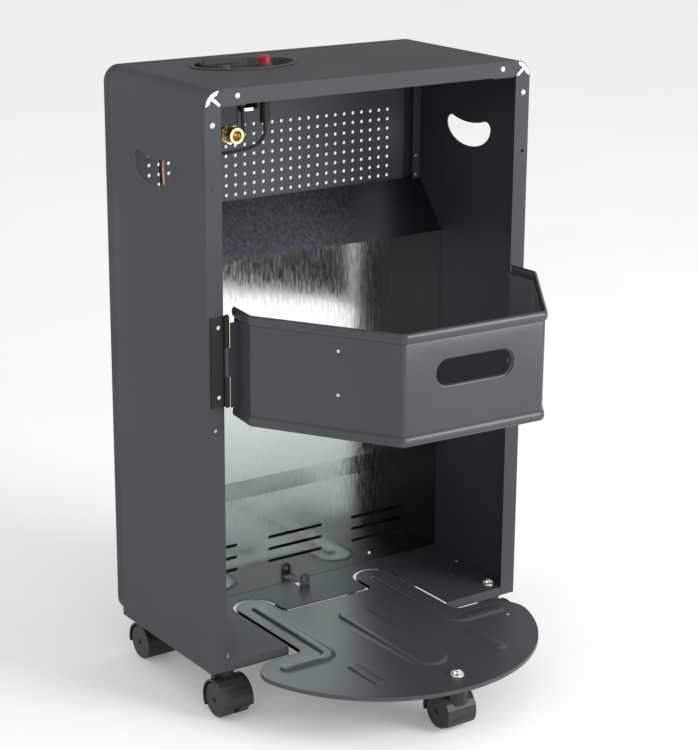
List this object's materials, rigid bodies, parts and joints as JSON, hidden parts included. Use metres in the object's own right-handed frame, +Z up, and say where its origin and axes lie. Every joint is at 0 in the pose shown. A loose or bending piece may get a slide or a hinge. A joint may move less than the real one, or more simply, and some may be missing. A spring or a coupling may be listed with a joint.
{
  "type": "outdoor heater",
  "caption": "Slim cabinet gas heater on castors with an open rear bottle bay, swinging bottle band, fold-up floor section, top control dish and radiant front",
  "frame": {"origin": "ground point under the centre of the whole heater's footprint", "axes": "+Z up; +Y towards the heating front; +X to the right when looking into the rear bottle bay"},
  "size_m": [0.422, 0.41, 0.704],
  "materials": {
    "casing": "satin powder coat",
    "front_frame": "satin powder coat",
    "perforated_panel": "satin powder coat",
    "burner_shield": "galvanised sheet",
    "floor_plate": "satin powder coat",
    "floor_hinge_rod": "bright zinc plate",
    "corner_bracket_left": "bright zinc plate",
    "corner_bracket_right": "bright zinc plate",
    "base_plate": "satin powder coat",
    "retainer_band": "satin powder coat",
    "hinge_leaf_fixed": "satin",
    "hinge_leaf_moving": "satin",
    "hinge_pin": "bright zinc plate",
    "control_panel": "satin",
    "control_spindle": "bright zinc plate",
    "control_knob": "satin",
    "ignition_button": "gloss",
    "piezo_igniter": "satin",
    "valve_bracket": "galvanised sheet",
    "gas_valve": "machined",
    "gas_inlet": "machined",
    "inlet_nut": "machined",
    "gas_pipe": "drawn copper tube",
    "gas_manifold": "machined",
    "ignition_lead": "matt",
    "thermocouple_lead": "matt",
    "reflector": "bright",
    "guard_grille": "satin",
    "pilot_burner": "bright",
    "burner_body_left": "galvanised sheet",
    "ceramic_plaque_left": "matt fired ceramic",
    "burner_body_centre": "galvanised sheet",
    "ceramic_plaque_centre": "matt fired ceramic",
    "burner_body_right": "galvanised sheet",
    "ceramic_plaque_right": "matt fired ceramic",
    "castor_rear_left_stem": "bright zinc plate",
    "castor_rear_left_housing": "satin",
    "castor_rear_left_axle": "bright zinc plate",
    "castor_rear_left_wheel_left": "satin",
    "castor_rear_left_wheel_right": "satin",
    "castor_rear_right_stem": "bright zinc plate",
    "castor_rear_right_housing": "satin",
    "castor_rear_right_axle": "bright zinc plate",
    "castor_rear_right_wheel_left": "satin",
    "castor_rear_right_wheel_right": "satin",
    "castor_front_left_stem": "bright zinc plate",
    "castor_front_left_housing": "satin",
    "castor_front_left_axle": "bright zinc plate",
    "castor_front_left_wheel_left": "satin",
    "castor_front_left_wheel_right": "satin",
    "castor_front_right_stem": "bright zinc plate",
    "castor_front_right_housing": "satin",
    "castor_front_right_axle": "bright zinc plate",
    "castor_front_right_wheel_left": "satin",
    "castor_front_right_wheel_right": "satin",
    "castor_plate_stem": "bright zinc plate",
    "castor_plate_housing": "satin",
    "castor_plate_axle": "bright zinc plate",
    "castor_plate_wheel_left": "satin",
    "castor_plate_wheel_right": "satin"
  },
  "bodies": {
    "cabinet": {"casing": "casing", "front_frame": "front_frame", "perforated_panel": "perforated_panel", "burner_shield": "burner_shield", "floor_plate": "floor_plate", "floor_hinge_rod": "floor_hinge_rod", "corner_bracket_left": "corner_bracket_left", "corner_bracket_right": "corner_bracket_right", "hinge_leaf_fixed": "hinge_leaf_fixed", "hinge_pin": "hinge_pin", "control_panel": "control_panel", "piezo_igniter": "piezo_igniter", "valve_bracket": "valve_bracket", "gas_valve": "gas_valve", "gas_inlet": "gas_inlet", "inlet_nut": "inlet_nut", "gas_pipe": "gas_pipe", "gas_manifold": "gas_manifold", "ignition_lead": "ignition_lead", "thermocouple_lead": "thermocouple_lead", "reflector": "reflector", "guard_grille": "guard_grille", "pilot_burner": "pilot_burner", "burner_body_left": "burner_body_left", "ceramic_plaque_left": "ceramic_plaque_left", "burner_body_centre": "burner_body_centre", "ceramic_plaque_centre": "ceramic_plaque_centre", "burner_body_right": "burner_body_right", "ceramic_plaque_right": "ceramic_plaque_right", "castor_rear_left_stem": "castor_rear_left_stem", "castor_rear_right_stem": "castor_rear_right_stem", "castor_front_left_stem": "castor_front_left_stem", "castor_front_right_stem": "castor_front_right_stem"},
    "floor_section": {"base_plate": "base_plate", "castor_plate_stem": "castor_plate_stem"},
    "retainer": {"retainer_band": "retainer_band", "hinge_leaf_moving": "hinge_leaf_moving"},
    "spindle": {"control_spindle": "control_spindle"},
    "knob": {"control_knob": "control_knob"},
    "igniter_button": {"ignition_button": "ignition_button"},
    "castor_rear_left_swivel": {"castor_rear_left_housing": "castor_rear_left_housing"},
    "castor_rear_left_wheels": {"castor_rear_left_axle": "castor_rear_left_axle", "castor_rear_left_wheel_left": "castor_rear_left_wheel_left", "castor_rear_left_wheel_right": "castor_rear_left_wheel_right"},
    "castor_rear_right_swivel": {"castor_rear_right_housing": "castor_rear_right_housing"},
    "castor_rear_right_wheels": {"castor_rear_right_axle": "castor_rear_right_axle", "castor_rear_right_wheel_left": "castor_rear_right_wheel_left", "castor_rear_right_wheel_right": "castor_rear_right_wheel_right"},
    "castor_front_left_swivel": {"castor_front_left_housing": "castor_front_left_housing"},
    "castor_front_left_wheels": {"castor_front_left_axle": "castor_front_left_axle", "castor_front_left_wheel_left": "castor_front_left_wheel_left", "castor_front_left_wheel_right": "castor_front_left_wheel_right"},
    "castor_front_right_swivel": {"castor_front_right_housing": "castor_front_right_housing"},
    "castor_front_right_wheels": {"castor_front_right_axle": "castor_front_right_axle", "castor_front_right_wheel_left": "castor_front_right_wheel_left", "castor_front_right_wheel_right": "castor_front_right_wheel_right"},
    "castor_plate_swivel": {"castor_plate_housing": "castor_plate_housing"},
    "castor_plate_wheels": {"castor_plate_axle": "castor_plate_axle", "castor_plate_wheel_left": "castor_plate_wheel_left", "castor_plate_wheel_right": "castor_plate_wheel_right"}
  },
  "joints": [
    {"name": "floor_section_fold", "type": "hinge", "parent": "cabinet", "child": "floor_section", "pos_m": [0, 0.104, 0.056], "axis": [-1, 0, 0], "range_deg": [0, 90]},
    {"name": "retainer_swing", "type": "hinge", "parent": "cabinet", "child": "retainer", "pos_m": [-0.1895, -0.0112, 0.415], "axis": [0, 0, -1], "range_deg": [0, 90]},
    {"name": "knob_turn", "type": "hinge", "parent": "cabinet", "child": "spindle", "pos_m": [-0.105, 0.142, 0.69], "axis": [0, 0, 1], "range_deg": [0, 240]},
    {"name": "knob_push", "type": "slide", "parent": "spindle", "child": "knob", "axis": [0, 0, -1], "range_m": [0, 0.004], "stiffness_N_per_m": 600},
    {"name": "igniter_press", "type": "slide", "parent": "cabinet", "child": "igniter_button", "axis": [0, 0, -1], "range_m": [0, 0.004], "stiffness_N_per_m": 400},
    {"name": "castor_rear_left_swivel_turn", "type": "hinge", "parent": "cabinet", "child": "castor_rear_left_swivel", "pos_m": [-0.187, 0.01, 0.045], "axis": [0, 0, 1], "continuous": true},
    {"name": "castor_rear_left_roll", "type": "hinge", "parent": "castor_rear_left_swivel", "child": "castor_rear_left_wheels", "pos_m": [-0.187, -0.002, 0.0205], "axis": [1, 0, 0], "continuous": true},
    {"name": "castor_rear_right_swivel_turn", "type": "hinge", "parent": "cabinet", "child": "castor_rear_right_swivel", "pos_m": [0.187, 0.01, 0.045], "axis": [0, 0, 1], "continuous": true},
    {"name": "castor_rear_right_roll", "type": "hinge", "parent": "castor_rear_right_swivel", "child": "castor_rear_right_wheels", "pos_m": [0.187, -0.002, 0.0205], "axis": [1, 0, 0], "continuous": true},
    {"name": "castor_front_left_swivel_turn", "type": "hinge", "parent": "cabinet", "child": "castor_front_left_swivel", "pos_m": [-0.18, 0.167, 0.045], "axis": [0, 0, 1], "continuous": true},
    {"name": "castor_front_left_roll", "type": "hinge", "parent": "castor_front_left_swivel", "child": "castor_front_left_wheels", "pos_m": [-0.18, 0.179, 0.0205], "axis": [1, 0, 0], "continuous": true},
    {"name": "castor_front_right_swivel_turn", "type": "hinge", "parent": "cabinet", "child": "castor_front_right_swivel", "pos_m": [0.18, 0.167, 0.045], "axis": [0, 0, 1], "continuous": true},
    {"name": "castor_front_right_roll", "type": "hinge", "parent": "castor_front_right_swivel", "child": "castor_front_right_wheels", "pos_m": [0.18, 0.179, 0.0205], "axis": [1, 0, 0], "continuous": true},
    {"name": "castor_plate_swivel_turn", "type": "hinge", "parent": "floor_section", "child": "castor_plate_swivel", "pos_m": [0, -0.172, 0.045], "axis": [0, 0, 1], "continuous": true},
    {"name": "castor_plate_roll", "type": "hinge", "parent": "castor_plate_swivel", "child": "castor_plate_wheels", "pos_m": [0, -0.16, 0.0205], "axis": [1, 0, 0], "continuous": true}
  ]
}
